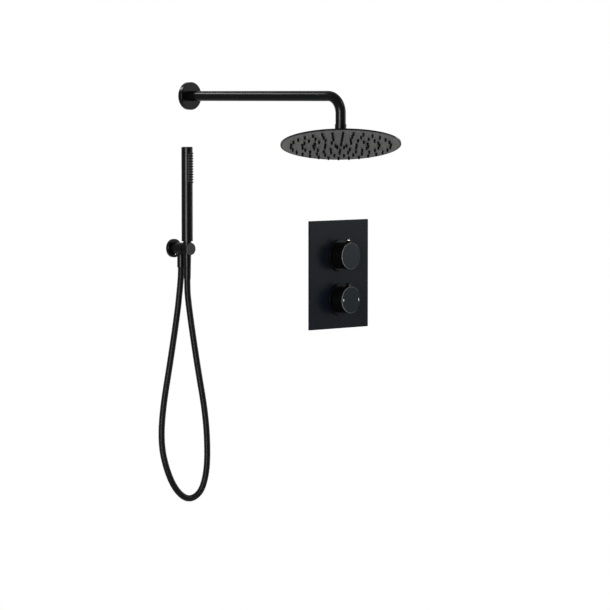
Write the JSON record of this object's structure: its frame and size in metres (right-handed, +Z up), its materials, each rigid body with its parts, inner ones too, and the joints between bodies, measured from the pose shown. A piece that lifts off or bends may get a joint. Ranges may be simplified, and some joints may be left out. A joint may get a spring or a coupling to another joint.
{
  "type": "concealed shower set",
  "caption": "Wall arm with thin round rain head, pencil hand shower on slotted outlet with hose, and rectangular control plate with round knobs.",
  "frame": {"origin": "the shower arm's axis at the finished wall", "axes": "+X right seen from the room, +Y into the wall, +Z up"},
  "size_m": [0.6828, 0.6553, 0.9084],
  "materials": {
    "matte_black": "satin black coating on brass and steel",
    "black_plastic": "satin black plastic",
    "black_hose": "black coated interlock steel hose",
    "black_silicone": "black silicone",
    "raw_brass": "machined brass",
    "steel": "zinc plated or stainless steel",
    "white_plastic": "acetal",
    "grey_foam": "closed-cell foam",
    "fibre": "nitrile rubber"
  },
  "bodies": {
    "wall_set": {"arm_tube": "matte_black", "arm_flange": "matte_black", "arm_flange_oring": "fibre", "swivel_nut": "matte_black", "inlet_strainer": "steel", "flow_regulator": "white_plastic", "wall_nipple": "raw_brass", "outlet_flange": "matte_black", "outlet_seal": "grey_foam", "outlet_body": "matte_black", "holder_liner": "black_plastic", "outlet_grub_screw": "steel", "hose_spigot": "matte_black", "outlet_check_valve": "white_plastic", "hose_nut": "matte_black", "hose_nut_washer": "fibre", "outlet_ferrule": "raw_brass", "shower_hose": "black_hose", "plate_gasket": "grey_foam", "face_plate": "matte_black", "plate_carrier": "black_plastic", "carrier_screws": "steel", "valve_body": "raw_brass", "valve_ports": "raw_brass", "mounting_bracket": "steel", "inlet_check_valves": "white_plastic", "cartridge_nuts": "raw_brass", "temperature_cartridge": "raw_brass", "diverter_cartridge": "raw_brass", "temperature_collar": "matte_black", "diverter_collar": "matte_black", "temperature_stop_ring": "white_plastic"},
    "swivel": {"ball_seat": "white_plastic"},
    "rain_head": {"ball_stem": "matte_black", "stem_washer": "fibre", "head_shell": "matte_black", "head_face": "matte_black", "nozzle_mat": "black_silicone", "flow_spreader": "white_plastic"},
    "hose_cone": {"cone_nut": "matte_black", "cone_washer": "fibre", "cone_ferrule": "raw_brass"},
    "handset": {"handset_tail": "matte_black", "handset_tube": "matte_black", "handset_cap": "matte_black", "spray_insert": "black_plastic", "nozzle_pad": "black_silicone", "water_channel": "white_plastic"},
    "temperature_knob": {"temperature_knob": "matte_black", "temperature_adapter": "white_plastic", "temperature_spindle": "raw_brass", "temperature_grub_screw": "steel", "temperature_button_spring": "steel"},
    "temperature_button": {"temperature_button": "matte_black"},
    "diverter_knob": {"diverter_knob": "matte_black", "diverter_adapter": "white_plastic", "diverter_spindle": "raw_brass", "diverter_grub_screw": "steel", "diverter_button_spring": "steel"},
    "diverter_button": {"diverter_button": "matte_black"}
  },
  "joints": [
    {"name": "head_spin", "type": "hinge", "parent": "wall_set", "child": "swivel", "pos_m": [0, -0.462, -0.078], "axis": [0, 0, 1], "continuous": true},
    {"name": "head_tilt", "type": "hinge", "parent": "swivel", "child": "rain_head", "pos_m": [0, -0.462, -0.078], "axis": [0.7314, -0.682, 0], "range_deg": [-2.8, 33.2]},
    {"name": "cone_lift", "type": "slide", "parent": "wall_set", "child": "hose_cone", "axis": [0, 0, 1], "range_m": [0, 0.09]},
    {"name": "handset_turn", "type": "hinge", "parent": "hose_cone", "child": "handset", "pos_m": [-0.049, -0.0479, -0.3285], "axis": [0, 0, 1], "continuous": true},
    {"name": "temperature_turn", "type": "hinge", "parent": "wall_set", "child": "temperature_knob", "pos_m": [0.4615, -0.03, -0.3625], "axis": [0, -1, 0], "range_deg": [-150, 40]},
    {"name": "temperature_button_press", "type": "slide", "parent": "temperature_knob", "child": "temperature_button", "axis": [0, 0, -1], "range_m": [0, 0.002], "stiffness_N_per_m": 700, "springref_m": -0.002, "deforming": ["temperature_button_spring"]},
    {"name": "diverter_turn", "type": "hinge", "parent": "wall_set", "child": "diverter_knob", "pos_m": [0.4615, -0.03, -0.4625], "axis": [0, -1, 0], "range_deg": [-90, 90]},
    {"name": "diverter_button_press", "type": "slide", "parent": "diverter_knob", "child": "diverter_button", "axis": [0, 0, -1], "range_m": [0, 0.002], "stiffness_N_per_m": 700, "springref_m": -0.002, "deforming": ["diverter_button_spring"]}
  ]
}
